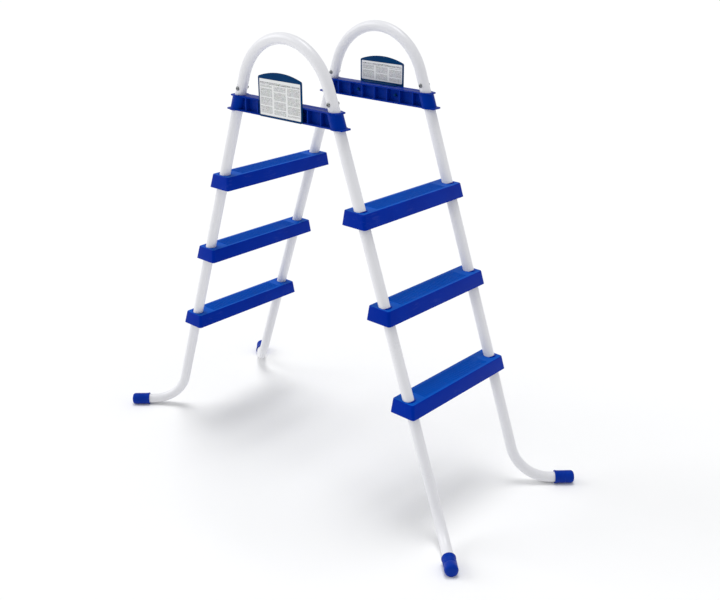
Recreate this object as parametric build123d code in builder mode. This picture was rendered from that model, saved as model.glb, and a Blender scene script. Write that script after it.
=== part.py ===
"""A-frame ladder for an above-ground pool, in millimetres.

Two tube side frames stand side_spacing apart along Y.  Each has a bent top rail
and two legs that slope outward along X, one on each side of the pool wall, and
the feet bend outward along the ground.  +Z is up, and the origin is on the
ground in the middle of the ladder.
"""
import os
from math import cos, radians, sin, tan

from build123d import *

os.makedirs("parts", exist_ok=True)

# Side frames: tubes and their line
side_spacing = 385
tube_od = 32
tube_wall = 1.6
leg_slope = 19.66
half_at_bar = 187
bar_top_z = 1160
arch_radius = 178

# Feet: the tube turns outward along the ground
foot_turn = 44
foot_reach = 172
bend_radius = 130
cap_wall = 3.3
cap_length = 60
cap_end_wall = 10
cap_round = 9
cap_bead_height = 1
cap_bead_width = 5
cap_clearance = 0.2
sole_depth = 1

# Wall bars: one across each side frame, where the ladder sits over the pool wall
bar_height = 45
bar_side_margin = 2
bar_flange = 4
bar_web = 4
bar_lip_top = 25
bar_lip_bottom = 28
bar_rib_pitch = 50
bar_rib_count = 7
bar_rib_inset = 3
boss_wall = 5.3
boss_flange_lip = 2.5
bar_clearance = 0.2
rail_seat_depth = 14
ledge_thickness = 4

# Joint of leg and rail: the leg's reduced end slides up inside the rail
spigot_clearance = 0.2
spigot_above_bar = 44
neck_length = 4
bolt_rise = 19
bolt_d = 6
bolt_clearance = 0.2
bolt_head_d = 12
bolt_head_height = 4
bolt_head_taper = 15
bolt_socket = 4
nut_across = 10
nut_height = 5
nut_dome_d = 9
nut_dome_height = 4
nut_dome_taper = 25

# Steps: hollow mouldings that the legs pass through
step_top_z = 906
step_pitch = 254
step_count = 3
step_height = 41
step_top_width = 74
step_bottom_width = 86
step_offset = -3
step_bottom_shift = 3
step_end_over = 29
step_end_draft = 6
step_wall = 3
step_corner = 7
step_edge = 2.5
step_sleeve_wall = 3.8
step_clearance = 0.2
step_rib = 2.4
step_rib_count = 5
step_rib_pitch = 56
step_rib_gap = 8
ridge_count = 8
ridge_pitch = 7
ridge_width = 3.6
ridge_length = 300
ridge_height = 1
screw_d = 4
screw_bite = 5
screw_head_d = 8
screw_head_height = 2.6
screw_head_taper = 20
screw_drop = 25
screw_pad_width = 14
screw_pad_height = 6

# Sign plates: clipped to the outer side of each wall bar
plate_width = 172
plate_side_height = 112
plate_mid_height = 127
plate_thickness = 3.5
plate_corner = 6
plate_ledge_width = 130
plate_ledge_depth = 12
plate_ledge_height = 3
peg_d = 8
peg_clearance = 0.3
peg_barb = 0.8
peg_barb_length = 5
peg_barb_taper = 15
label_width = 162
outer_label_height = 100
outer_label_bottom = 6
inner_label_height = 56
inner_label_rise = 7
label_thickness = 0.4
label_recess = 0.7
label_clearance = 0.5
label_corner = 2

# Values that follow from the sizes above
slope_run = tan(radians(leg_slope))
slope_sin = sin(radians(leg_slope))
slope_cos = cos(radians(leg_slope))
half_spacing = side_spacing / 2
tube_radius = tube_od / 2
cap_od = tube_od + 2 * (cap_clearance + cap_wall)
cap_bead_od = cap_od + 2 * cap_bead_height
foot_axis_z = cap_od / 2 - sole_depth
bar_bottom_z = bar_top_z - bar_height
bar_mid_z = bar_top_z - bar_height / 2
bar_width = tube_od + 2 * bar_side_margin
boss_od = tube_od + 2 * (bar_clearance + boss_wall)
boss_flange_od = boss_od + 2 * boss_flange_lip
half_at_bar_bottom = half_at_bar + bar_height * slope_run
arch_center_z = bar_top_z - (arch_radius / slope_cos - half_at_bar) / slope_run
spigot_od = tube_od - 2 * tube_wall - 2 * spigot_clearance
peg_spacing = 3 * bar_rib_pitch
step_sleeve_od = tube_od + 2 * (step_clearance + step_sleeve_wall)
screw_pad_reach = tube_radius + screw_pad_height
screw_length = screw_pad_height + screw_bite
step_tops = [step_top_z - step_pitch * number for number in range(step_count)]
step_names = ("top", "middle", "bottom")
sides_x = (("left", -1), ("right", 1))
sides_y = (("near", -1), ("far", 1))
corners = [(x_name, sx, y_name, sy) for x_name, sx in sides_x for y_name, sy in sides_y]


def leg_point(sx, sy, z):
    """Point on the axis of a leg at height z."""
    return Vector(sx * (half_at_bar + (bar_top_z - z) * slope_run), sy * half_spacing, z)


def leg_plane(sx, sy, z):
    """Plane square to a leg at height z, facing up along the leg."""
    return Plane(leg_point(sx, sy, z), z_dir=(-sx * slope_sin, 0, slope_cos))


def foot_direction(sx, sy):
    """Level direction in which a foot points."""
    return Vector(sx * cos(radians(foot_turn)), sy * sin(radians(foot_turn)), 0)


def foot_end(sx, sy):
    """Centre of the tube's end inside its foot cap."""
    reach = foot_reach - cap_end_wall
    return leg_point(sx, sy, foot_axis_z) + foot_direction(sx, sy) * reach


def screw_plane(sx, sy, step_z):
    """Plane on the axis of a leg at a step's screw, facing the middle of the step."""
    return Plane(leg_point(sx, sy, step_z - screw_drop), z_dir=(0, -sy, 0))


def save(part, name):
    """Label a finished piece and write it under its own name."""
    part.label = name
    export_step(part, f"parts/{name}.step")


# Rails
def make_top_rail(sy):
    """Inverted U of tube with both ends seated in the wall bar."""
    foot_z = bar_top_z - rail_seat_depth
    tangent_x = arch_radius * slope_cos
    tangent_z = arch_center_z + arch_radius * slope_sin
    apex = (0, sy * half_spacing, arch_center_z + arch_radius)
    left = (-tangent_x, sy * half_spacing, tangent_z)
    right = (tangent_x, sy * half_spacing, tangent_z)
    with BuildPart() as rail:
        with BuildLine() as route:
            Line(leg_point(-1, sy, foot_z), left)
            ThreePointArc(left, apex, right)
            Line(right, leg_point(1, sy, foot_z))
        with BuildSketch(leg_plane(-1, sy, foot_z)):
            Circle(tube_radius)
            Circle(tube_radius - tube_wall, mode=Mode.SUBTRACT)
        sweep(path=route.line)
        for sx in (-1, 1):
            bolt_plane = Plane(leg_point(sx, sy, bar_top_z + bolt_rise), z_dir=(0, 1, 0))
            with BuildSketch(bolt_plane):
                Circle(bolt_d / 2 + bolt_clearance)
            extrude(amount=tube_od, both=True, mode=Mode.SUBTRACT)
    return rail.part


for y_name, sy in sides_y:
    save(make_top_rail(sy), f"top_rail_{y_name}")


# Legs
def make_leg(sx, sy):
    """Sloping tube with a bent foot, and a reduced upper end that enters the rail."""
    shoulder = leg_plane(sx, sy, bar_top_z - rail_seat_depth).offset(-ledge_thickness)
    spigot_top = leg_point(sx, sy, bar_top_z + spigot_above_bar)
    spigot_length = (spigot_top - shoulder.origin).length
    with BuildPart() as leg:
        with BuildLine():
            corner = leg_point(sx, sy, foot_axis_z)
            route = FilletPolyline(foot_end(sx, sy), corner, shoulder.origin, radius=bend_radius)
        with BuildSketch(Plane(route @ 0, z_dir=route % 0)):
            Circle(tube_radius)
            Circle(tube_radius - tube_wall, mode=Mode.SUBTRACT)
        sweep(path=route)
        with BuildSketch(shoulder):
            Circle(tube_radius)
            Circle(spigot_od / 2 - tube_wall, mode=Mode.SUBTRACT)
        extrude(amount=-neck_length)
        with BuildSketch(shoulder):
            Circle(spigot_od / 2)
            Circle(spigot_od / 2 - tube_wall, mode=Mode.SUBTRACT)
        extrude(amount=spigot_length)
        bolt_plane = Plane(leg_point(sx, sy, bar_top_z + bolt_rise), z_dir=(0, 1, 0))
        with BuildSketch(bolt_plane):
            Circle(bolt_d / 2 + bolt_clearance)
        extrude(amount=tube_od, both=True, mode=Mode.SUBTRACT)
        for step_z in step_tops:
            with BuildSketch(screw_plane(sx, sy, step_z)):
                Circle(screw_d / 2)
            extrude(amount=tube_od, mode=Mode.SUBTRACT)
    return leg.part


for x_name, sx, y_name, sy in corners:
    save(make_leg(sx, sy), f"leg_{x_name}_{y_name}")


# Foot caps
def make_foot_cap(sx, sy):
    """Push-on cap with a rounded end, a beaded mouth and a flat sole."""
    outward = foot_direction(sx, sy)
    tip = Plane(foot_end(sx, sy) + outward * cap_end_wall, z_dir=-outward)
    with BuildPart() as cap:
        with BuildSketch(tip):
            Circle(cap_od / 2)
        extrude(amount=cap_length)
        fillet(cap.faces().sort_by(Axis(tip.origin, -outward))[0].edges(), cap_round)
        with BuildSketch(tip.offset(cap_length - cap_bead_width)):
            Circle(cap_bead_od / 2)
        extrude(amount=cap_bead_width)
        with BuildSketch(tip.offset(cap_end_wall)):
            Circle(tube_radius + cap_clearance)
        extrude(amount=cap_length, mode=Mode.SUBTRACT)
        with BuildSketch(Plane((tip.origin.X, tip.origin.Y, 0))):
            Circle(2 * cap_length)
        extrude(amount=-cap_od, mode=Mode.SUBTRACT)
    return cap.part


for x_name, sx, y_name, sy in corners:
    save(make_foot_cap(sx, sy), f"foot_cap_{x_name}_{y_name}")


# Wall bars
def make_wall_bar(sy):
    """I-section moulding with a sloping boss at each end for the tubes."""
    y = sy * half_spacing
    top_flange = (bar_top_z - bar_flange, half_at_bar, bar_lip_top)
    bottom_flange = (bar_bottom_z, half_at_bar_bottom, bar_lip_bottom)
    with BuildPart() as bar:
        for z, tube_x, lip in (top_flange, bottom_flange):
            with BuildSketch(Plane((0, y, z))):
                RectangleRounded(2 * (tube_x + lip), bar_width, bar_flange)
                with Locations((-tube_x, 0), (tube_x, 0)):
                    Circle(boss_flange_od / 2)
            extrude(amount=bar_flange)
        with BuildSketch(Plane((0, y, bar_bottom_z))):
            Rectangle(2 * half_at_bar, bar_web)
            with GridLocations(bar_rib_pitch, 0, bar_rib_count, 1):
                Rectangle(bar_web, bar_width - 2 * bar_rib_inset)
        extrude(amount=bar_height)
        for sx in (-1, 1):
            with BuildSketch(leg_plane(sx, sy, bar_mid_z)):
                Circle(boss_od / 2)
            extrude(amount=bar_height, both=True)
        with BuildSketch(Plane((0, y, bar_bottom_z))):
            Rectangle(4 * half_at_bar, 2 * boss_flange_od)
        extrude(amount=bar_height, mode=Mode.INTERSECT)
        for sx in (-1, 1):
            seat = leg_plane(sx, sy, bar_top_z - rail_seat_depth)
            with BuildSketch(seat):
                Circle(tube_radius + bar_clearance)
            extrude(amount=bar_height, mode=Mode.SUBTRACT)
            with BuildSketch(seat.offset(-ledge_thickness)):
                Circle(tube_radius + bar_clearance)
            extrude(amount=-2 * bar_height, mode=Mode.SUBTRACT)
            with BuildSketch(seat):
                Circle(spigot_od / 2 + spigot_clearance)
            extrude(amount=-ledge_thickness, mode=Mode.SUBTRACT)
        with BuildSketch(Plane((0, y, bar_mid_z), x_dir=(1, 0, 0), z_dir=(0, 1, 0))):
            with GridLocations(peg_spacing, 0, 2, 1):
                Circle(peg_d / 2 + peg_clearance)
        extrude(amount=bar_web, both=True, mode=Mode.SUBTRACT)
    return bar.part


for y_name, sy in sides_y:
    save(make_wall_bar(sy), f"wall_bar_{y_name}")


# Steps
def step_section(depth, inset):
    """Rounded outline of a step at a depth below its top, drawn inset from the outside."""
    share = depth / step_height
    width = step_top_width + share * (step_bottom_width - step_top_width)
    length = side_spacing + 2 * step_end_over - 2 * step_end_draft * (1 - share)
    corner = step_corner - inset / 2
    return RectangleRounded(width - 2 * inset, length - 2 * inset, corner)


def make_step(sx, step_z):
    """Hollow drafted tread with ribs, leg sleeves and screw pads underneath."""
    top_x = leg_point(sx, 0, step_z).X + sx * step_offset
    bottom_x = top_x + sx * step_bottom_shift
    bottom = Plane((bottom_x, 0, step_z - step_height))
    with BuildPart() as block:
        with BuildSketch(bottom):
            step_section(step_height, 0)
        with BuildSketch(Plane((top_x, 0, step_z))):
            step_section(0, 0)
        loft()
        fillet(block.faces().sort_by(Axis.Z)[-1].edges(), step_edge)
    with BuildPart() as cavity:
        with BuildSketch(bottom):
            step_section(step_height, step_wall)
        with BuildSketch(Plane((top_x, 0, step_z - step_wall))):
            step_section(step_wall, step_wall)
        loft()
    with BuildPart() as inside:
        with BuildSketch(Plane((top_x, 0, step_z - step_height + step_rib_gap))):
            Rectangle(step_rib, side_spacing)
            with GridLocations(0, step_rib_pitch, 1, step_rib_count):
                Rectangle(2 * step_bottom_width, step_rib)
        extrude(amount=step_height)
        for sy in (-1, 1):
            middle = leg_plane(sx, sy, step_z - step_height / 2)
            with BuildSketch(middle):
                Circle(step_sleeve_od / 2)
            extrude(amount=step_height, both=True)
            with BuildSketch(screw_plane(sx, sy, step_z)):
                Rectangle(screw_pad_width, screw_pad_width)
            extrude(amount=screw_pad_reach)
        add(block.part, mode=Mode.INTERSECT)
    with BuildPart() as step:
        add(block.part)
        add(cavity.part, mode=Mode.SUBTRACT)
        add(inside.part)
        with BuildSketch(Plane((top_x, 0, step_z))):
            with GridLocations(ridge_pitch, 0, ridge_count, 1):
                SlotOverall(ridge_length, ridge_width, rotation=90)
        extrude(amount=ridge_height)
        for sy in (-1, 1):
            with BuildSketch(leg_plane(sx, sy, step_z - step_height / 2)):
                Circle(tube_radius + step_clearance)
            extrude(amount=2 * step_height, both=True, mode=Mode.SUBTRACT)
            with BuildSketch(screw_plane(sx, sy, step_z)):
                Circle(screw_d / 2)
            extrude(amount=screw_pad_reach + step_wall, mode=Mode.SUBTRACT)
    return step.part


for x_name, sx in sides_x:
    for step_name, step_z in zip(step_names, step_tops):
        save(make_step(sx, step_z), f"step_{x_name}_{step_name}")


# Sign plates and their labels
def plate_plane(sy):
    """Back of a sign plate at the foot of the wall bar, facing away from the climber."""
    y = sy * (half_spacing + bar_width / 2)
    return Plane((0, y, bar_bottom_z), x_dir=(-sy, 0, 0), z_dir=(0, sy, 0))


def outer_label_place():
    """Middle of the outer label on the plate's own plane."""
    return (0, outer_label_bottom + outer_label_height / 2)


def inner_label_place():
    """Middle of the inner label on the plate's own plane."""
    return (0, bar_height + inner_label_rise + inner_label_height / 2)


def make_sign_plate(sy):
    """Plate with an arched top, a ledge that rests on the bar and two barbed pegs."""
    back = plate_plane(sy)
    half_width = plate_width / 2
    with BuildPart() as plate:
        with BuildSketch(back) as outline:
            with BuildLine():
                Polyline((-half_width, plate_side_height), (-half_width, 0),
                         (half_width, 0), (half_width, plate_side_height))
                ThreePointArc((half_width, plate_side_height), (0, plate_mid_height),
                              (-half_width, plate_side_height))
            make_face()
            fillet(outline.vertices(), plate_corner)
        extrude(amount=plate_thickness)
        with BuildSketch(back.offset(plate_thickness)):
            with Locations(outer_label_place()):
                Rectangle(label_width + label_clearance, outer_label_height + label_clearance)
        extrude(amount=-label_recess, mode=Mode.SUBTRACT)
        with BuildSketch(back):
            with Locations(inner_label_place()):
                Rectangle(label_width + label_clearance, inner_label_height + label_clearance)
        extrude(amount=label_recess, mode=Mode.SUBTRACT)
        with BuildSketch(back):
            with Locations((0, bar_height + plate_ledge_height / 2)):
                Rectangle(plate_ledge_width, plate_ledge_height)
        extrude(amount=-plate_ledge_depth)
        peg_reach = bar_width / 2 + bar_web / 2
        with BuildSketch(back):
            with Locations((0, bar_height / 2)):
                with GridLocations(peg_spacing, 0, 2, 1):
                    Circle(peg_d / 2)
        extrude(amount=-peg_reach)
        with BuildSketch(back.offset(-peg_reach)):
            with Locations((0, bar_height / 2)):
                with GridLocations(peg_spacing, 0, 2, 1):
                    Circle(peg_d / 2 + peg_barb)
        extrude(amount=-peg_barb_length, taper=peg_barb_taper)
    return plate.part


def make_label(plane, place, height):
    """Thin printed sticker that lies on a plane."""
    with BuildPart() as label:
        with BuildSketch(plane):
            with Locations(place):
                RectangleRounded(label_width, height, label_corner)
        extrude(amount=label_thickness)
    return label.part


for y_name, sy in sides_y:
    save(make_sign_plate(sy), f"sign_plate_{y_name}")
    front = plate_plane(sy).offset(plate_thickness - label_recess)
    rear = plate_plane(sy).offset(label_recess - label_thickness)
    save(make_label(front, outer_label_place(), outer_label_height), f"outer_label_{y_name}")
    save(make_label(rear, inner_label_place(), inner_label_height), f"inner_label_{y_name}")


# Fasteners
with BuildPart() as rail_bolts:
    for x_name, sx, y_name, sy in corners:
        middle = leg_point(sx, sy, bar_top_z + bolt_rise)
        under_head = Plane(middle - Vector(0, tube_radius, 0), z_dir=(0, -1, 0))
        with BuildSketch(under_head):
            Circle(bolt_head_d / 2)
        extrude(amount=bolt_head_height, taper=bolt_head_taper)
        with BuildSketch(under_head):
            Circle(bolt_d / 2)
        extrude(amount=-(tube_od + nut_height))
        with BuildSketch(under_head.offset(bolt_head_height)):
            RegularPolygon(bolt_socket / 2, 6, major_radius=False)
        extrude(amount=-bolt_head_height / 2, mode=Mode.SUBTRACT)
save(rail_bolts.part, "rail_bolts")

with BuildPart() as rail_cap_nuts:
    for x_name, sx, y_name, sy in corners:
        middle = leg_point(sx, sy, bar_top_z + bolt_rise)
        seat = Plane(middle + Vector(0, tube_radius, 0), z_dir=(0, 1, 0))
        with BuildSketch(seat):
            RegularPolygon(nut_across / 2, 6, major_radius=False)
        extrude(amount=nut_height)
        with BuildSketch(seat.offset(nut_height)):
            Circle(nut_dome_d / 2)
        extrude(amount=nut_dome_height, taper=nut_dome_taper)
        with BuildSketch(seat):
            Circle(bolt_d / 2)
        extrude(amount=nut_height, mode=Mode.SUBTRACT)
save(rail_cap_nuts.part, "rail_cap_nuts")

with BuildPart() as step_screws:
    for x_name, sx, y_name, sy in corners:
        for step_z in step_tops:
            under_head = screw_plane(sx, sy, step_z).offset(screw_pad_reach)
            with BuildSketch(under_head):
                Circle(screw_head_d / 2)
            extrude(amount=screw_head_height, taper=screw_head_taper)
            with BuildSketch(under_head):
                Circle(screw_d / 2)
            extrude(amount=-screw_length)
save(step_screws.part, "step_screws")
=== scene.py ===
import math

import bpy
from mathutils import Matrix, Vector


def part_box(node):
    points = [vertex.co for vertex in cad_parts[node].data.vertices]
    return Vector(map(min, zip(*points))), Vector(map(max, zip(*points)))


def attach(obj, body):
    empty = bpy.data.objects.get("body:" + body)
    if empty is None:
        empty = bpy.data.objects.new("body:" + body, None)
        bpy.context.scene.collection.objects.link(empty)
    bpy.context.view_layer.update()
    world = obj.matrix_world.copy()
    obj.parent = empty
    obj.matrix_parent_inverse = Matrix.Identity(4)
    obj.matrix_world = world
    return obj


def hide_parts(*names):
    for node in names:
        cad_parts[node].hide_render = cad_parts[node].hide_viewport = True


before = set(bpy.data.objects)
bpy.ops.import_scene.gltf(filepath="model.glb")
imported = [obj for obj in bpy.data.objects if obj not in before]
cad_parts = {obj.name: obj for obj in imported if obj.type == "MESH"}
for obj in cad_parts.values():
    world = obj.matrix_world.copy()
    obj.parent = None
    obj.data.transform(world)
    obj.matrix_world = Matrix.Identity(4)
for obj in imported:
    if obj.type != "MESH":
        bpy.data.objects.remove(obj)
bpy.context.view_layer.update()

bpy.ops.object.select_all(action="DESELECT")


# View, lamps and floor
# The ladder stands on a plain white studio floor under large soft lamps, and is
# seen from a little above its handrails, over the right near foot.
camera_place = Vector((1.926, -2.006, 1.672))
camera_aim = Vector((0.103, 0.0, 0.538))
bpy.ops.object.camera_add(location=camera_place)
camera = bpy.context.object
camera.rotation_euler = (camera_aim - camera_place).to_track_quat("-Z", "Y").to_euler()
camera.data.lens = 47.6
camera.data.clip_end = 100
bpy.context.scene.camera = camera
bpy.context.scene.view_settings.view_transform = "Standard"


def wide_lamp(name, place, spread, strength):
    """Distant lamp with a wide soft disc, shining from a place towards the origin."""
    bpy.ops.object.light_add(type="SUN", location=place)
    lamp = bpy.context.object
    lamp.name = name
    lamp.rotation_euler = (-Vector(place)).to_track_quat("-Z", "Y").to_euler()
    lamp.data.angle = math.radians(spread)
    lamp.data.energy = strength


wide_lamp("overhead_lamp", (-0.5, 0.5, 4.0), 26, 1.15)
wide_lamp("left_lamp", (-3.4, -1.9, 1.9), 34, 0.90)

studio = bpy.data.worlds.new("studio")
studio.use_nodes = True
studio.node_tree.nodes["Background"].inputs["Color"].default_value = (0.98, 0.99, 1.0, 1.0)
studio.node_tree.nodes["Background"].inputs["Strength"].default_value = 0.58
bpy.context.scene.world = studio


def new_material(name):
    """Material with its node tree and its Principled shader."""
    material = bpy.data.materials.new(name)
    material.use_nodes = True
    return material, material.node_tree, material.node_tree.nodes["Principled BSDF"]


def add_node(tree, kind, inputs=None, **settings):
    """Adds a node; inputs maps a socket's name or number to a value or another socket."""
    node = tree.nodes.new(kind)
    for setting, value in settings.items():
        setattr(node, setting, value)
    for key, value in (inputs or {}).items():
        if isinstance(value, bpy.types.NodeSocket):
            tree.links.new(value, node.inputs[key])
        else:
            node.inputs[key].default_value = value
    return node


def blend_colours(tree, share, first, second):
    """Mixes two colours by a share from 0 to 1."""
    inputs = {0: share, 6: first, 7: second}
    return add_node(tree, "ShaderNodeMix", inputs, data_type="RGBA").outputs[2]


floor_width = 60
floor_grey = (0.955, 0.955, 0.955, 1)
floor_white = (0.975, 0.975, 0.975, 1)
floor_roughness = 0.7
bpy.ops.mesh.primitive_plane_add(size=floor_width)
floor = bpy.context.object
floor.name = "studio_floor"
floor_paint, tree, shader = new_material("floor_paint")
place = add_node(tree, "ShaderNodeTexCoord").outputs["Object"]
cloud = add_node(tree, "ShaderNodeTexNoise", {"Vector": place, "Scale": 0.8, "Detail": 3.0})
tone = blend_colours(tree, cloud.outputs["Fac"], floor_grey, floor_white)
tree.links.new(tone, shader.inputs["Base Color"])
shader.inputs["Roughness"].default_value = floor_roughness
shader.inputs["Specular IOR Level"].default_value = 0.0
floor.data.materials.append(floor_paint)


# Top rails
# Each side frame is capped by a hoop of 32 mm steel tube, bent cold in one piece
# and powder-coated white.  Its square-cut ends sit in the bosses of the wall bar.
leg_slope = math.radians(19.66)
half_at_bar = 0.187
arch_radius = 0.178
rail_seat_depth = 0.014
tube_wall = 0.0016
tube_sides = 72
arch_steps = 72
smooth_angle = math.radians(40)
seam_gap = 0.000005
coat_grey = (0.80, 0.80, 0.835, 1)
coat_white = (0.86, 0.86, 0.885, 1)
coat_rubbed = (0.56, 0.56, 0.60, 1)
# Grey laid on the coat near the ground: dust and painted contact shade, darker towards the floor.
coat_dust_and_shade = (0.55, 0.54, 0.52, 1)
coat_dust_and_shade_share = 0.35
coat_roughness = (0.24, 0.38)
rail_low, rail_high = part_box("top_rail_near")
tube_radius = (rail_high.y - rail_low.y) / 2
half_spacing = -(rail_low.y + rail_high.y) / 2
bar_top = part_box("wall_bar_near")[1].z
arch_centre_z = rail_high.z - tube_radius - arch_radius


def leg_point(sx, sy, z):
    """Point on the axis of a leg at height z."""
    return Vector((sx * (half_at_bar + (bar_top - z) * math.tan(leg_slope)), sy * half_spacing, z))


def leg_up(sx):
    """Direction up along a leg."""
    return Vector((-sx * math.sin(leg_slope), 0, math.cos(leg_slope)))


def start_ring(centre, direction, radius, sides, fill="NOTHING"):
    """Starts a piece with one ring, square to a direction, and leaves it in edit mode."""
    bpy.ops.object.select_all(action="DESELECT")
    turn = direction.to_track_quat("Z", "Y").to_euler()
    bpy.ops.mesh.primitive_circle_add(vertices=sides, radius=radius, fill_type=fill,
                                      location=centre, rotation=turn)
    bpy.ops.object.transform_apply(location=True, rotation=True, scale=True)
    bpy.ops.object.mode_set(mode="EDIT")
    bpy.ops.mesh.select_all(action="SELECT")


def run_straight(step):
    """Carries the selected ring or face along a straight run."""
    bpy.ops.mesh.extrude_region_move(TRANSFORM_OT_translate={"value": step})


def end_piece(name):
    """Closes seams, points the faces outward, smooths the shape and names it."""
    bpy.ops.mesh.select_all(action="SELECT")
    bpy.ops.mesh.remove_doubles(threshold=seam_gap)
    bpy.ops.mesh.normals_make_consistent(inside=False)
    bpy.ops.object.mode_set(mode="OBJECT")
    bpy.ops.object.shade_smooth_by_angle(angle=smooth_angle)
    piece = bpy.context.object
    piece.name = name
    return piece


def give_wall(piece, thickness):
    """Turns an open skin into a wall that lies inside it."""
    wall = piece.modifiers.new("wall", "SOLIDIFY")
    wall.thickness = thickness
    wall.offset = -1
    bpy.ops.object.modifier_apply(modifier="wall")
    bpy.ops.object.shade_smooth_by_angle(angle=smooth_angle)


def placed_copy(piece, name, mirror=(1, 1, 1), shift=(0, 0, 0)):
    """Copy of a piece with its own mesh, mirrored about the origin and then moved."""
    bpy.ops.object.select_all(action="DESELECT")
    twin = bpy.data.objects.new(name, piece.data.copy())
    bpy.context.scene.collection.objects.link(twin)
    twin.select_set(True)
    bpy.context.view_layer.objects.active = twin
    bpy.ops.object.mode_set(mode="EDIT")
    bpy.ops.mesh.select_all(action="SELECT")
    bpy.ops.transform.resize(value=mirror, center_override=(0, 0, 0))
    bpy.ops.transform.translate(value=shift)
    bpy.ops.mesh.normals_make_consistent(inside=False)
    bpy.ops.object.mode_set(mode="OBJECT")
    return twin


def hand_in(piece, material, node):
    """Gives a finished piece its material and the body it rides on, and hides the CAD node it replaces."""
    if material:
        piece.data.materials.clear()
        piece.data.materials.append(material)
    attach(piece, "root")
    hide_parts(node)


def maths(tree, operation, first, second=0.0, third=0.0, clamp=False):
    """Result of one Math node."""
    inputs = {0: first, 1: second, 2: third}
    return add_node(tree, "ShaderNodeMath", inputs, operation=operation, use_clamp=clamp).outputs[0]


def new_group(name, inputs, outputs):
    """Shader node group with float inputs, given with their values, and float outputs."""
    group = bpy.data.node_groups.new(name, "ShaderNodeTree")
    group.interface.new_socket("Vector", in_out="INPUT", socket_type="NodeSocketVector")
    for socket_name, value in inputs.items():
        socket = group.interface.new_socket(socket_name, in_out="INPUT", socket_type="NodeSocketFloat")
        socket.default_value = value
    for socket_name in outputs:
        group.interface.new_socket(socket_name, in_out="OUTPUT", socket_type="NodeSocketFloat")
    return group, group.nodes.new("NodeGroupInput"), group.nodes.new("NodeGroupOutput")


def make_surface_grain():
    """Fine skin of a coated or moulded surface, and slow drifts of its tone."""
    inputs = {"Grain": 1200.0, "Drift": 9.0}
    group, given, result = new_group("surface_grain", inputs, ("Height", "Tone"))
    vector = given.outputs["Vector"]
    fine = add_node(group, "ShaderNodeTexNoise",
                    {"Vector": vector, "Scale": given.outputs["Grain"], "Detail": 2.0})
    coarse = maths(group, "MULTIPLY", given.outputs["Grain"], 0.3)
    broad = add_node(group, "ShaderNodeTexNoise", {"Vector": vector, "Scale": coarse, "Detail": 1.0})
    drift = add_node(group, "ShaderNodeTexNoise",
                     {"Vector": vector, "Scale": given.outputs["Drift"], "Detail": 4.0})
    height = maths(group, "ADD", fine.outputs["Fac"], broad.outputs["Fac"])
    group.links.new(height, result.inputs["Height"])
    group.links.new(drift.outputs["Fac"], result.inputs["Tone"])
    return group


def make_ground_dust_and_shade():
    """Mask that grows towards the ground, broken up by noise; it carries dust, and on the powder coat also
    painted contact shade.
    """
    group, given, result = new_group("ground_dust_and_shade", {"Reach": 0.12}, ("Mask",))
    height = add_node(group, "ShaderNodeSeparateXYZ", {0: given.outputs["Vector"]}).outputs["Z"]
    share = maths(group, "DIVIDE", height, given.outputs["Reach"], clamp=True)
    low = maths(group, "SUBTRACT", 1.0, share, clamp=True)
    patches = add_node(group, "ShaderNodeTexNoise",
                       {"Vector": given.outputs["Vector"], "Scale": 60.0, "Detail": 6.0})
    mask = maths(group, "MULTIPLY", low, patches.outputs["Fac"], clamp=True)
    group.links.new(mask, result.inputs["Mask"])
    return group


def make_scuffs():
    """Mask of thin rubbed marks, longest along Y, where feet and hands pass."""
    group, given, result = new_group("scuffs", {"Amount": 0.5}, ("Mask",))
    stretch = add_node(group, "ShaderNodeMapping",
                       {"Vector": given.outputs["Vector"], "Scale": (240, 26, 240)})
    lines = add_node(group, "ShaderNodeTexNoise",
                     {"Vector": stretch.outputs[0], "Scale": 1.0, "Detail": 5.0, "Roughness": 0.6})
    where = add_node(group, "ShaderNodeTexNoise", {"Vector": given.outputs["Vector"], "Scale": 14.0})
    both = maths(group, "MULTIPLY", lines.outputs["Fac"], where.outputs["Fac"])
    sharp = add_node(group, "ShaderNodeMapRange",
                     {"Value": both, "From Min": 0.33, "From Max": 0.42}).outputs[0]
    mask = maths(group, "MULTIPLY", sharp, given.outputs["Amount"], clamp=True)
    group.links.new(mask, result.inputs["Mask"])
    return group


surface_grain = make_surface_grain()
ground_dust_and_shade = make_ground_dust_and_shade()
scuffs = make_scuffs()


def place_group(tree, group, vector, values):
    """Puts a node group into a material with its own values."""
    return add_node(tree, "ShaderNodeGroup", {"Vector": vector, **values}, node_tree=group)


def between(tree, share, low, high):
    """Value between two limits, by a share from 0 to 1."""
    return maths(tree, "MULTIPLY_ADD", share, high - low, low)


def join_surface(tree, shader, colour, roughness, height, strength, depth):
    """Joins a colour, a roughness and a bump made from a height to the shader."""
    bump = add_node(tree, "ShaderNodeBump", {"Strength": strength, "Distance": depth, "Height": height})
    tree.links.new(colour, shader.inputs["Base Color"])
    tree.links.new(roughness, shader.inputs["Roughness"])
    tree.links.new(bump.outputs[0], shader.inputs["Normal"])


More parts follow.
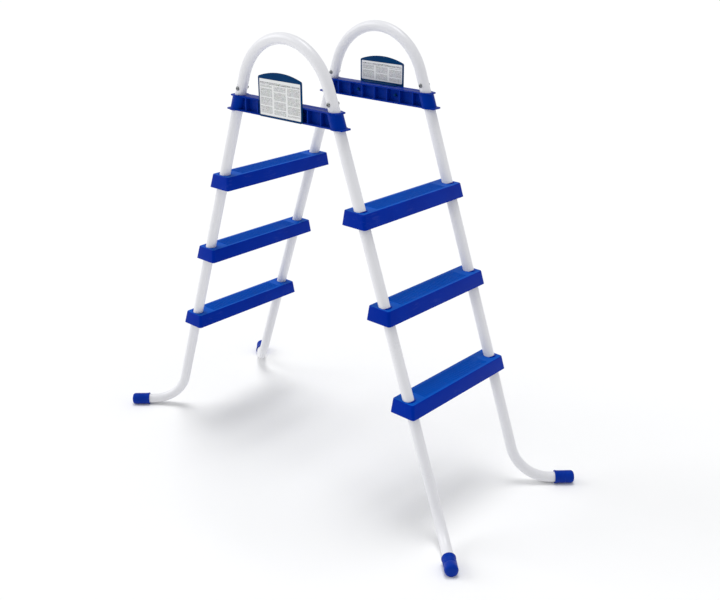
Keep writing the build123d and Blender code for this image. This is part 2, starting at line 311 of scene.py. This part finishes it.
def coat_of_powder():
    """White polyester powder coat: a faint orange peel, slow drifts of tone, and dust with painted contact
    shade, darker towards the ground.
    """
    material, tree, shader = new_material("white_powder_coat")
    place = add_node(tree, "ShaderNodeTexCoord").outputs["Object"]
    grain = place_group(tree, surface_grain, place, {"Grain": 520.0, "Drift": 7.0})
    dust = place_group(tree, ground_dust_and_shade, place, {"Reach": 0.09})
    tone = grain.outputs["Tone"]
    coat = blend_colours(tree, tone, coat_grey, coat_white)
    rubbed = place_group(tree, scuffs, place, {"Amount": 0.13}).outputs["Mask"]
    coat = blend_colours(tree, rubbed, coat, coat_rubbed)
    # Darkening towards the ground: dust, and painted contact shade where the legs meet the floor.
    dust_and_shade = maths(tree, "MULTIPLY", dust.outputs["Mask"], coat_dust_and_shade_share)
    coat = blend_colours(tree, dust_and_shade, coat, coat_dust_and_shade)
    roughness = between(tree, tone, *coat_roughness)
    join_surface(tree, shader, coat, roughness, grain.outputs["Height"], strength=0.25, depth=0.00012)
    return material


powder_coat = coat_of_powder()

seat = leg_point(-1, -1, bar_top - rail_seat_depth)
tangent = Vector((-arch_radius * math.cos(leg_slope), -half_spacing,
                  arch_centre_z + arch_radius * math.sin(leg_slope)))
rail_run = tangent - seat
start_ring(seat, rail_run.normalized(), tube_radius, tube_sides)
run_straight(rail_run)
bpy.ops.mesh.spin(steps=arch_steps, angle=2 * leg_slope - math.pi,
                  center=(0, -half_spacing, arch_centre_z), axis=(0, 1, 0))
run_straight(Vector((rail_run.x, 0, -rail_run.z)))
near_hoop = end_piece("handrail_hoop_near")
give_wall(near_hoop, tube_wall)
far_hoop = placed_copy(near_hoop, "handrail_hoop_far", shift=(0, 2 * half_spacing, 0))
hand_in(near_hoop, powder_coat, "top_rail_near")
hand_in(far_hoop, powder_coat, "top_rail_far")


# Legs
# Each leg is a length of the same tube.  Its foot is bent outward along the
# ground, and its upper end is reduced so that it slides up inside the rail.
foot_turn = math.radians(44)
foot_reach = 0.172
bend_radius = 0.130
bend_steps = 40
foot_axis_z = 0.0185
cap_end_wall = 0.010
ledge_thickness = 0.004
spigot_radius = 0.0142
spigot_above_bar = 0.044
swage_length = 0.004
sides_x = (("left", -1), ("right", 1))
sides_y = (("near", -1), ("far", 1))
corners = [(x_name, sx, y_name, sy) for x_name, sx in sides_x for y_name, sy in sides_y]


def resize_ring(factor, centre):
    """Makes the selected ring larger or smaller about its own centre."""
    bpy.ops.transform.resize(value=(factor, factor, factor), center_override=centre)


foot_inward = Vector((-math.cos(foot_turn), math.sin(foot_turn), 0))
leg_axis = leg_up(1)
corner = leg_point(1, -1, foot_axis_z)
foot_end = corner - foot_inward * (foot_reach - cap_end_wall)
bend_turn = foot_inward.angle(leg_axis)
tangent_length = bend_radius * math.tan(bend_turn / 2)
bend_start = corner - foot_inward * tangent_length
bend_end = corner + leg_axis * tangent_length
bend_axis = foot_inward.cross(leg_axis).normalized()
bend_centre = bend_start + bend_axis.cross(foot_inward) * bend_radius
shoulder = leg_point(1, -1, bar_top - rail_seat_depth) - leg_axis * (ledge_thickness + swage_length)
spigot_start = shoulder + leg_axis * swage_length
spigot_top = leg_point(1, -1, bar_top + spigot_above_bar)
start_ring(foot_end, foot_inward, tube_radius, tube_sides)
run_straight(bend_start - foot_end)
bpy.ops.mesh.spin(steps=bend_steps, angle=-bend_turn, center=bend_centre, axis=bend_axis)
run_straight(shoulder - bend_end)
run_straight(spigot_start - shoulder)
resize_ring(spigot_radius / tube_radius, spigot_start)
run_straight(spigot_top - spigot_start)
leg_skin = end_piece("leg_skin")
for x_name, sx, y_name, sy in corners:
    leg = placed_copy(leg_skin, f"leg_tube_{x_name}_{y_name}", mirror=(sx, -sy, 1))
    give_wall(leg, tube_wall)
    hand_in(leg, powder_coat, f"leg_{x_name}_{y_name}")
bpy.data.objects.remove(leg_skin, do_unlink=True)


# Foot caps
# Soft blue vinyl caps are pushed over the tube ends.  Each has a beaded mouth,
# fine grip rings, a rounded end and a flat sole along its underside.
cap_length = 0.060
cap_radius = 0.0195
cap_bore = 0.0162
bead_radius = 0.0205
bead_width = 0.005
bead_round = 0.0008
ring_start = 0.014
ring_count = 5
ring_pitch = 0.0042
ring_width = 0.002
ring_slope = 0.0006
ring_depth = 0.0005
end_round = 0.009
end_steps = 8
round_sides = 64
plastic_dust = (0.42, 0.40, 0.37, 1)
plastic_sheen = (0.10, 0.45, 1.0, 1.0)
plastic_shine = 0.10
gloss_drift = 0.08
scuff_roughness = 0.25


def turned_piece(name, origin, direction, rings, sides):
    """Closed round piece built ring by ring; each ring is a distance along it and a radius."""
    start_ring(origin + direction * rings[0][0], direction, rings[0][1], sides, fill="NGON")
    for (distance, radius), (next_distance, next_radius) in zip(rings, rings[1:]):
        run_straight(direction * (next_distance - distance))
        resize_ring(next_radius / radius, origin + direction * next_distance)
    return end_piece(name)


def rounded_end(start, height, wide, narrow, steps):
    """Rings of a rounded end, from the wide one at its start to the narrow one."""
    turns = [step * math.pi / 2 / steps for step in range(steps + 1)]
    return [(start + height * math.sin(turn), narrow + (wide - narrow) * math.cos(turn)) for turn in turns]


def moulded_plastic(name, dark, light, rough, grain, scuffed, dusty=0.0):
    """Satin moulded plastic with a fine spark grain, drifting tone, rubbed marks and dust."""
    material, tree, shader = new_material(name)
    place = add_node(tree, "ShaderNodeTexCoord").outputs["Object"]
    skin = place_group(tree, surface_grain, place, {"Grain": grain, "Drift": 11.0})
    rubbed = place_group(tree, scuffs, place, {"Amount": scuffed}).outputs["Mask"]
    dust = place_group(tree, ground_dust_and_shade, place, {"Reach": 0.05}).outputs["Mask"]
    tone = skin.outputs["Tone"]
    colour = blend_colours(tree, tone, dark, light)
    pale = tuple(0.85 * part + 0.05 for part in light[:3]) + (1,)
    colour = blend_colours(tree, rubbed, colour, pale)
    dust = maths(tree, "MULTIPLY", dust, dusty)
    colour = blend_colours(tree, dust, colour, plastic_dust)
    roughness = between(tree, tone, rough - gloss_drift, rough + gloss_drift)
    roughness = maths(tree, "MULTIPLY_ADD", rubbed, scuff_roughness, roughness, clamp=True)
    shader.inputs["Specular IOR Level"].default_value = plastic_shine
    shader.inputs["Specular Tint"].default_value = plastic_sheen
    join_surface(tree, shader, colour, roughness, skin.outputs["Height"], strength=0.35, depth=0.0001)
    return material


cap_vinyl = moulded_plastic("cap_vinyl", (0.0, 0.020, 0.27, 1), (0.0, 0.034, 0.37, 1),
                            rough=0.42, grain=900.0, scuffed=0.12, dusty=0.05)

cap_rings = [(cap_length - cap_end_wall, cap_bore), (0.0, cap_bore),
             (0.0, bead_radius - bead_round), (bead_round, bead_radius),
             (bead_width - bead_round, bead_radius), (bead_width, bead_radius - bead_round),
             (bead_width + bead_round, cap_radius)]
for number in range(ring_count):
    groove = ring_start + number * ring_pitch
    groove_end = groove + ring_width
    cap_rings += [(groove, cap_radius), (groove + ring_slope, cap_radius - ring_depth),
                  (groove_end - ring_slope, cap_radius - ring_depth), (groove_end, cap_radius)]
cap_rings += rounded_end(cap_length - end_round, end_round, cap_radius, cap_radius - end_round, end_steps)

mouth = corner - foot_inward * (foot_reach - cap_length)
cap_skin = turned_piece("cap_skin", mouth, -foot_inward, cap_rings, round_sides)
bpy.ops.object.mode_set(mode="EDIT")
bpy.ops.mesh.select_all(action="SELECT")
bpy.ops.mesh.bisect(plane_co=(0, 0, 0), plane_no=(0, 0, 1), clear_inner=True, use_fill=True)
bpy.ops.object.mode_set(mode="OBJECT")
bpy.ops.object.shade_smooth_by_angle(angle=smooth_angle)
for x_name, sx, y_name, sy in corners:
    cap = placed_copy(cap_skin, f"vinyl_cap_{x_name}_{y_name}", mirror=(sx, -sy, 1))
    hand_in(cap, cap_vinyl, f"foot_cap_{x_name}_{y_name}")
bpy.data.objects.remove(cap_skin, do_unlink=True)


# Wall bars
# An I-section bar of dark blue polypropylene ties the two tubes of each side frame and
# rests over the pool wall.  It is moulded in one piece with its ribs and bosses.
bar_edge = 0.0007
facet_gap = 0.00001
flat_angle = math.radians(1.5)
sharp_angle = math.radians(50)


def softened_copy(node, name, edge_width):
    """Copy of a moulded piece with its facets joined and its edges rounded."""
    piece = bpy.data.objects.new(name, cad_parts[node].data.copy())
    bpy.context.scene.collection.objects.link(piece)
    bpy.ops.object.select_all(action="DESELECT")
    bpy.context.view_layer.objects.active = piece
    piece.select_set(True)
    bpy.ops.mesh.customdata_custom_splitnormals_clear()
    bpy.ops.object.mode_set(mode="EDIT")
    bpy.ops.mesh.select_all(action="SELECT")
    bpy.ops.mesh.remove_doubles(threshold=facet_gap)
    bpy.ops.mesh.dissolve_limited(angle_limit=flat_angle)
    bpy.ops.object.mode_set(mode="OBJECT")
    edge = piece.modifiers.new("edge", "BEVEL")
    edge.width = edge_width
    edge.segments = 2
    edge.limit_method = "ANGLE"
    edge.angle_limit = sharp_angle
    bpy.ops.object.modifier_apply(modifier="edge")
    bpy.ops.object.shade_smooth_by_angle(angle=smooth_angle)
    return piece


bar_plastic = moulded_plastic("bar_plastic", (0.0, 0.016, 0.24, 1), (0.0, 0.030, 0.33, 1),
                              rough=0.36, grain=1100.0, scuffed=0.12)

for side in ("near", "far"):
    bar = softened_copy(f"wall_bar_{side}", f"moulded_bar_{side}", bar_edge)
    hand_in(bar, bar_plastic, f"wall_bar_{side}")


# Steps
# Six hollow treads of blue polypropylene are threaded onto the legs and held by screws
# from inside.  Their tops carry a studded non-slip panel between the two tubes.
step_names = ("top", "middle", "bottom")
step_low, step_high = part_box("step_right_top")
ridge_height = 0.001
step_wall = 0.003
step_draft = 0.006
step_top_width = 0.074
step_bottom_width = 0.086
step_shift = 0.003
step_corner = 0.008
corner_segments = 6
step_edge = 0.0025
edge_segments = 4
step_bore = 0.0162
sleeve_radius = 0.020
grip_length = 0.300
grip_rows = 13
grip_pitch = 0.0042
grip_width = 0.0022
grip_studs = 33
stud_share = 0.72
stud_taper = (0.6, 0.85, 1)
sleeve_rise = 0.010
screw_drop = 0.025
pad_width = 0.014
pad_reach = 0.022
pad_depth = 0.0045
cross_rib_count = 5
cross_rib_pitch = 0.056
rib_width = 0.0024
rib_side_gap = 0.0024
shortest_edge = 0.0001
step_height = step_high.z - ridge_height - step_low.z
step_length = step_high.y - step_low.y
rib_height = 0.75 * step_height
rib_drop = 0.45 * step_height


def facing_up(centre, normal):
    """True for a face that looks up."""
    return normal.z > 0.9


def facing_down(centre, normal):
    """True for a face that looks down."""
    return normal.z < -0.9


def select_where(test):
    """Selects the faces whose centre and normal pass a test, in edit mode."""
    mesh = bpy.context.object.data
    bpy.ops.mesh.select_all(action="DESELECT")
    bpy.ops.object.mode_set(mode="OBJECT")
    for face in mesh.polygons:
        face.select = test(face.center, face.normal)
    bpy.ops.object.mode_set(mode="EDIT")


def cut_away(piece, cutter):
    """Cuts one closed shape out of another."""
    cut = piece.modifiers.new("cut", "BOOLEAN")
    cut.operation = "DIFFERENCE"
    cut.solver = "EXACT"
    cut.object = cutter
    bpy.context.view_layer.objects.active = piece
    bpy.ops.object.modifier_apply(modifier="cut")
    bpy.data.objects.remove(cutter, do_unlink=True)


def block(size, place):
    """Box of a size at a place, with its place in its mesh."""
    bpy.ops.object.select_all(action="DESELECT")
    bpy.ops.mesh.primitive_cube_add(size=1, location=place)
    bpy.context.object.scale = size
    bpy.ops.object.transform_apply(location=True, rotation=True, scale=True)
    return bpy.context.object


def join_pieces(pieces, name):
    """Joins finished shapes into the first one."""
    bpy.ops.object.select_all(action="DESELECT")
    for piece in pieces:
        piece.select_set(True)
    bpy.context.view_layer.objects.active = pieces[0]
    bpy.ops.object.join()
    pieces[0].name = name
    return pieces[0]


def round_edges(axis, radius, segments):
    """Rounds the edges of a block that run along an axis, in edit mode."""
    mesh = bpy.context.object.data
    bpy.ops.mesh.select_mode(type="EDGE")
    bpy.ops.mesh.select_all(action="DESELECT")
    bpy.ops.object.mode_set(mode="OBJECT")
    for edge in mesh.edges:
        ends = [mesh.vertices[number].co[axis] for number in edge.vertices]
        edge.select = abs(ends[0] - ends[1]) > shortest_edge
    bpy.ops.object.mode_set(mode="EDIT")
    bpy.ops.mesh.bevel(offset=radius, segments=segments)
    bpy.ops.mesh.select_mode(type="FACE")


def tread_shell(top_z, middle_x):
    """Drafted hollow box with rounded corners, open underneath."""
    shell = block((step_bottom_width, step_length, step_height), (middle_x, 0, top_z - step_height / 2))
    bpy.ops.object.mode_set(mode="EDIT")
    select_where(facing_up)
    narrowing = step_top_width / step_bottom_width
    shortening = (step_length - 2 * step_draft) / step_length
    bpy.ops.transform.resize(value=(narrowing, shortening, 1), center_override=(middle_x, 0, top_z))
    bpy.ops.transform.translate(value=(-step_shift, 0, 0))
    round_edges(2, step_corner, corner_segments)
    select_where(facing_up)
    bpy.ops.mesh.region_to_loop()
    bpy.ops.mesh.bevel(offset=step_edge, segments=edge_segments)
    bpy.ops.mesh.select_mode(type="FACE")
    select_where(facing_down)
    bpy.ops.mesh.inset(thickness=step_wall)
    run_straight((-step_shift, 0, step_height - step_wall))
    inner = Vector((middle_x - step_shift, 0, top_z - step_wall))
    bpy.ops.transform.resize(value=(narrowing, shortening, 1), center_override=inner)
    bpy.ops.mesh.select_mode(type="VERT")
    bpy.ops.object.mode_set(mode="OBJECT")
    return shell


def grip_panel(middle_x, top_z):
    """Rows of low tapered studs, made once and repeated across the top of a tread."""
    stud_pitch = grip_length / grip_studs
    start_x = middle_x - grip_pitch * (grip_rows - 1) / 2
    stud_centre = Vector((start_x, (stud_pitch - grip_length) / 2, top_z))
    stud = block((grip_width, stud_pitch * stud_share, 2 * ridge_height), stud_centre)
    bpy.ops.object.mode_set(mode="EDIT")
    select_where(facing_up)
    stud_top = stud_centre + Vector((0, 0, ridge_height))
    bpy.ops.transform.resize(value=stud_taper, center_override=stud_top)
    bpy.ops.object.mode_set(mode="OBJECT")
    repeats = (("along", grip_studs, (0, stud_pitch, 0)), ("across", grip_rows, (grip_pitch, 0, 0)))
    for name, count, offset in repeats:
        repeat = stud.modifiers.new(name, "ARRAY")
        repeat.count = count
        repeat.use_relative_offset = False
        repeat.use_constant_offset = True
        repeat.constant_offset_displace = offset
        bpy.ops.object.modifier_apply(modifier=name)
    return stud


step_plastic = moulded_plastic("step_plastic", (0.0, 0.015, 0.28, 1), (0.0, 0.029, 0.39, 1),
                               rough=0.40, grain=1000.0, scuffed=0.22)
grip_plastic = moulded_plastic("grip_plastic", (0.0, 0.066, 0.42, 1), (0.0, 0.098, 0.54, 1),
                               rough=0.50, grain=700.0, scuffed=0.35)

step_top = step_high.z - ridge_height
step_middle = (step_low.x + step_high.x) / 2
top_middle = step_middle - step_shift
tread = tread_shell(step_top, step_middle)
for sy in (-1, 1):
    below = leg_point(1, sy, step_top - 2 * step_height)
    bore_rings = [(0, step_bore), (3 * step_height, step_bore)]
    cut_away(tread, turned_piece("bore", below, leg_axis, bore_rings, round_sides))
step_parts = [tread]
for sy in (-1, 1):
    sleeve_foot = leg_point(1, sy, step_top - step_height + sleeve_rise)
    sleeve_length = (step_height - step_wall - sleeve_rise) / math.cos(leg_slope)
    rings = [(0, step_bore), (0, sleeve_radius), (sleeve_length, sleeve_radius), (sleeve_length, step_bore)]
    start_ring(sleeve_foot, leg_axis, step_bore, round_sides)
    for (distance, radius), (next_distance, next_radius) in zip(rings, rings[1:] + rings[:1]):
        run_straight(leg_axis * (next_distance - distance))
        resize_ring(next_radius / radius, sleeve_foot + leg_axis * next_distance)
    step_parts.append(end_piece("sleeve"))
    pad_place = leg_point(1, sy, step_top - screw_drop) - Vector((0, sy * (pad_reach - pad_depth / 2), 0))
    step_parts.append(block((pad_width, pad_depth, pad_width), pad_place))
rib_middle = Vector((step_middle - step_shift / 2, 0, step_top - rib_drop))
step_parts.append(block((rib_width, 2 * (half_spacing - sleeve_radius), rib_height), rib_middle))
for number in range(cross_rib_count):
    rib_y = (number - (cross_rib_count - 1) / 2) * cross_rib_pitch
    rib_size = (step_top_width - 2 * rib_side_gap, rib_width, rib_height)
    step_parts.append(block(rib_size, rib_middle + Vector((0, rib_y, 0))))
step_parts.append(grip_panel(top_middle, step_top))
for part in step_parts:
    part.data.materials.clear()
    part.data.materials.append(step_plastic)
    part.data.materials.append(grip_plastic)
for face in step_parts[-1].data.polygons:
    face.material_index = 1
for face in tread.data.polygons:
    if facing_up(face.center, face.normal) and face.center.z > step_top - step_edge:
        face.material_index = 1
tread = join_pieces(step_parts, "tread")
bpy.ops.object.shade_smooth_by_angle(angle=smooth_angle)
for x_name, sx in sides_x:
    for step_name in step_names:
        low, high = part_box(f"step_{x_name}_{step_name}")
        move = (sx * abs(low.x + high.x) / 2 - sx * step_middle, 0, high.z - step_high.z)
        step = placed_copy(tread, f"moulded_step_{x_name}_{step_name}", mirror=(sx, 1, 1), shift=move)
        hand_in(step, None, f"step_{x_name}_{step_name}")
bpy.data.objects.remove(tread, do_unlink=True)


# Sign plates
# A thin plate with an arched top is pegged to the outer side of each wall bar.
# It is moulded in navy plastic, with a shallow frame round each label.
plate_edge = 0.0006
plate_plastic = moulded_plastic("plate_plastic", (0.0, 0.024, 0.10, 1), (0.0, 0.044, 0.15, 1),
                                rough=0.34, grain=1100.0, scuffed=0.10)

for side in ("near", "far"):
    plate = softened_copy(f"sign_plate_{side}", f"arched_plate_{side}", plate_edge)
    hand_in(plate, plate_plastic, f"sign_plate_{side}")


# Labels
# Printed white film is stuck to both sides of each plate.  The print is a heading row
# over three columns of plain grey dashes, with no lettering.
label_corner = 0.002
label_segments = 5
column_count = 3
column_gap = 0.06
column_shift = 0.0071
print_margin = 0.06
side_margin = 0.015
print_scale = 100
blank_line = 0.11
print_grey = (0.10, 0.105, 0.115, 1)
film_white = (0.83, 0.85, 0.88, 1)
film_stained = (0.80, 0.80, 0.77, 1)
film_roughness = (0.22, 0.42)
ink_tint_share = 0.20


def make_print_rows():
    """Ink of one kind of print: rows of dashes broken up by gaps, with blank lines between blocks."""
    inputs = {"Word": 0.5, "Row": 0.25, "Share": 0.55, "Block": 60.0}
    group, given, result = new_group("print_rows", inputs, ("Ink",))
    vector = given.outputs["Vector"]
    words = add_node(group, "ShaderNodeTexBrick",
                     {"Vector": vector, "Scale": print_scale, "Brick Width": given.outputs["Word"],
                      "Row Height": given.outputs["Row"], "Mortar Size": 0.05, "Mortar Smooth": 0.2,
                      "Color1": (1, 1, 1, 1), "Color2": (0.5, 0.5, 0.5, 1), "Mortar": (0, 0, 0, 1)},
                     offset=0.37, offset_frequency=2)
    holes = add_node(group, "ShaderNodeTexNoise", {"Vector": vector, "Scale": 260.0, "Detail": 1.0})
    kept = maths(group, "LESS_THAN", holes.outputs["Fac"], given.outputs["Share"])
    height = add_node(group, "ShaderNodeSeparateXYZ", {0: vector}).outputs["Y"]
    row_place = maths(group, "FRACT", maths(group, "MULTIPLY", height, given.outputs["Block"]))
    kept = maths(group, "MULTIPLY", kept, maths(group, "GREATER_THAN", row_place, blank_line))
    group.links.new(maths(group, "MULTIPLY", words.outputs["Color"], kept), result.inputs["Ink"])
    return group


print_rows = make_print_rows()


def within(tree, value, middle, reach):
    """Mask that is 1 where a value lies within a reach of a middle."""
    distance = maths(tree, "ABSOLUTE", maths(tree, "SUBTRACT", value, middle))
    return maths(tree, "LESS_THAN", distance, reach)


def printed_film(name, low, high, heading_height):
    """White film printed with a heading row over three columns of dashed rows."""
    material, tree, shader = new_material(name)
    width = high.x - low.x
    height = high.z - low.z
    place = add_node(tree, "ShaderNodeTexCoord").outputs["Object"]
    axes = add_node(tree, "ShaderNodeSeparateXYZ", {0: place})
    across = maths(tree, "DIVIDE", maths(tree, "SUBTRACT", axes.outputs["X"], low.x), width)
    upward = maths(tree, "DIVIDE", maths(tree, "SUBTRACT", axes.outputs["Z"], low.z), height)
    columns = maths(tree, "MULTIPLY", across, column_count)
    column = maths(tree, "FLOOR", columns)
    shifted = maths(tree, "MULTIPLY_ADD", column, column_shift, axes.outputs["Z"])
    flat = add_node(tree, "ShaderNodeCombineXYZ", {"X": axes.outputs["X"], "Y": shifted}).outputs[0]
    body = place_group(tree, print_rows, flat, {"Word": 0.42, "Row": 0.26, "Share": 0.66, "Block": 41.0})
    bold = place_group(tree, print_rows, flat, {"Word": 0.70, "Row": 0.42, "Share": 0.80, "Block": 0.5})
    in_column = within(tree, maths(tree, "FRACT", columns), 0.5, 0.5 - column_gap)
    is_heading = within(tree, upward, 1 - print_margin - heading_height, 0.6 * heading_height)
    is_body = maths(tree, "LESS_THAN", upward, 1 - print_margin - 2 * heading_height)
    heading = maths(tree, "MULTIPLY", is_heading, bold.outputs["Ink"])
    ink = maths(tree, "MULTIPLY", maths(tree, "MULTIPLY", is_body, body.outputs["Ink"]), in_column)
    ink = maths(tree, "MAXIMUM", ink, heading)
    ink = maths(tree, "MULTIPLY", ink, within(tree, upward, 0.5, 0.5 - print_margin))
    ink = maths(tree, "MULTIPLY", ink, within(tree, across, 0.5, 0.5 - side_margin))
    tint = add_node(tree, "ShaderNodeTexNoise", {"Vector": flat, "Scale": 90.0, "Detail": 1.0})
    washed = blend_colours(tree, ink_tint_share, print_grey, tint.outputs["Color"])
    stains = add_node(tree, "ShaderNodeTexNoise", {"Vector": flat, "Scale": 24.0, "Detail": 3.0})
    stain = stains.outputs["Fac"]
    film = blend_colours(tree, stain, film_white, film_stained)
    colour = blend_colours(tree, ink, film, washed)
    ripple = add_node(tree, "ShaderNodeTexNoise", {"Vector": flat, "Scale": 70.0, "Detail": 1.0})
    roughness = between(tree, stain, *film_roughness)
    join_surface(tree, shader, colour, roughness, ripple.outputs["Fac"], strength=0.2, depth=0.0003)
    return material


for kind, heading_height in (("outer", 0.05), ("inner", 0.08)):
    low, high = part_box(f"{kind}_label_near")
    near_film = block(high - low, (low + high) / 2)
    bpy.ops.object.mode_set(mode="EDIT")
    round_edges(1, label_corner, label_segments)
    bpy.ops.mesh.select_mode(type="VERT")
    bpy.ops.object.mode_set(mode="OBJECT")
    near_film.name = f"printed_film_{kind}_near"
    far_film = placed_copy(near_film, f"printed_film_{kind}_far", mirror=(1, -1, 1))
    label_print = printed_film(f"{kind}_print", low, high, heading_height)
    hand_in(near_film, label_print, f"{kind}_label_near")
    hand_in(far_film, label_print, f"{kind}_label_far")


# Rail bolts and cap nuts
# One zinc-plated M6 bolt with a domed head crosses each rail and leg joint along Y,
# just above the wall bar, and a cap nut closes its far end.
bolt_rise = 0.019
bolt_radius = 0.003
bolt_sides = 40
hex_sides = 6
head_radius = 0.006
head_height = 0.004
head_steps = 6
socket_radius = 0.0023
socket_depth = 0.002
nut_radius = 0.0057
nut_height = 0.005
nut_chamfer = 0.0005
dome_radius = 0.0045
dome_height = 0.004
cloud_share = 0.6
steel_gloss_drift = 0.25


def plated_steel(name, colour, rough):
    """Dull plated steel with a fine grain and a little clouding."""
    material, tree, shader = new_material(name)
    place = add_node(tree, "ShaderNodeTexCoord").outputs["Object"]
    skin = place_group(tree, surface_grain, place, {"Grain": 2600.0, "Drift": 260.0})
    tone = skin.outputs["Tone"]
    cloudy = tuple(part * cloud_share for part in colour[:3]) + (1,)
    colour = blend_colours(tree, tone, cloudy, colour)
    roughness = between(tree, tone, rough, rough + steel_gloss_drift)
    shader.inputs["Metallic"].default_value = 1.0
    join_surface(tree, shader, colour, roughness, skin.outputs["Height"], strength=0.3, depth=0.00005)
    return material


bolt_steel = plated_steel("bolt_steel", (0.30, 0.31, 0.32, 1), 0.28)
head_rings = [(-2 * tube_radius - nut_height, bolt_radius), (0, bolt_radius)]
head_rings += rounded_end(0, head_height, head_radius, head_radius / 2, head_steps)
nut_rings = [(0, nut_radius), (nut_height - nut_chamfer, nut_radius)]
nut_rings += rounded_end(nut_height, dome_height, dome_radius, 0, head_steps)[:-1]

joint_centre = leg_point(1, -1, bar_top + bolt_rise)
towards_head = Vector((0, -1, 0))
bolt_seat = joint_centre + towards_head * tube_radius
bolt = turned_piece("bolt", bolt_seat, towards_head, head_rings, bolt_sides)
socket_floor = bolt_seat + towards_head * (head_height - socket_depth)
socket_rings = [(0, socket_radius), (head_height, socket_radius)]
cut_away(bolt, turned_piece("socket", socket_floor, towards_head, socket_rings, hex_sides))
bpy.ops.object.shade_smooth_by_angle(angle=smooth_angle)
nut_seat = joint_centre - towards_head * tube_radius
nut = turned_piece("nut", nut_seat, -towards_head, nut_rings, hex_sides)
for master, name, node in ((bolt, "domed_bolts", "rail_bolts"), (nut, "domed_nuts", "rail_cap_nuts")):
    copies = []
    for x_name, sx, y_name, sy in corners:
        move = leg_point(sx, sy, bar_top + bolt_rise) - joint_centre
        copies.append(placed_copy(master, f"{name}_{x_name}_{y_name}", shift=move))
    hand_in(join_pieces(copies, name), bolt_steel, node)
    bpy.data.objects.remove(master, do_unlink=True)


# Step screws
# Twelve pan-head screws hold the steps from inside, through each sleeve into the
# leg.  The frame's own screws have the right shape and only take a plated finish.
screw_steel = plated_steel("screw_steel", (0.52, 0.52, 0.50, 1), 0.3)
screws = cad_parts["step_screws"]
for slot in screws.material_slots:
    slot.material = screw_steel
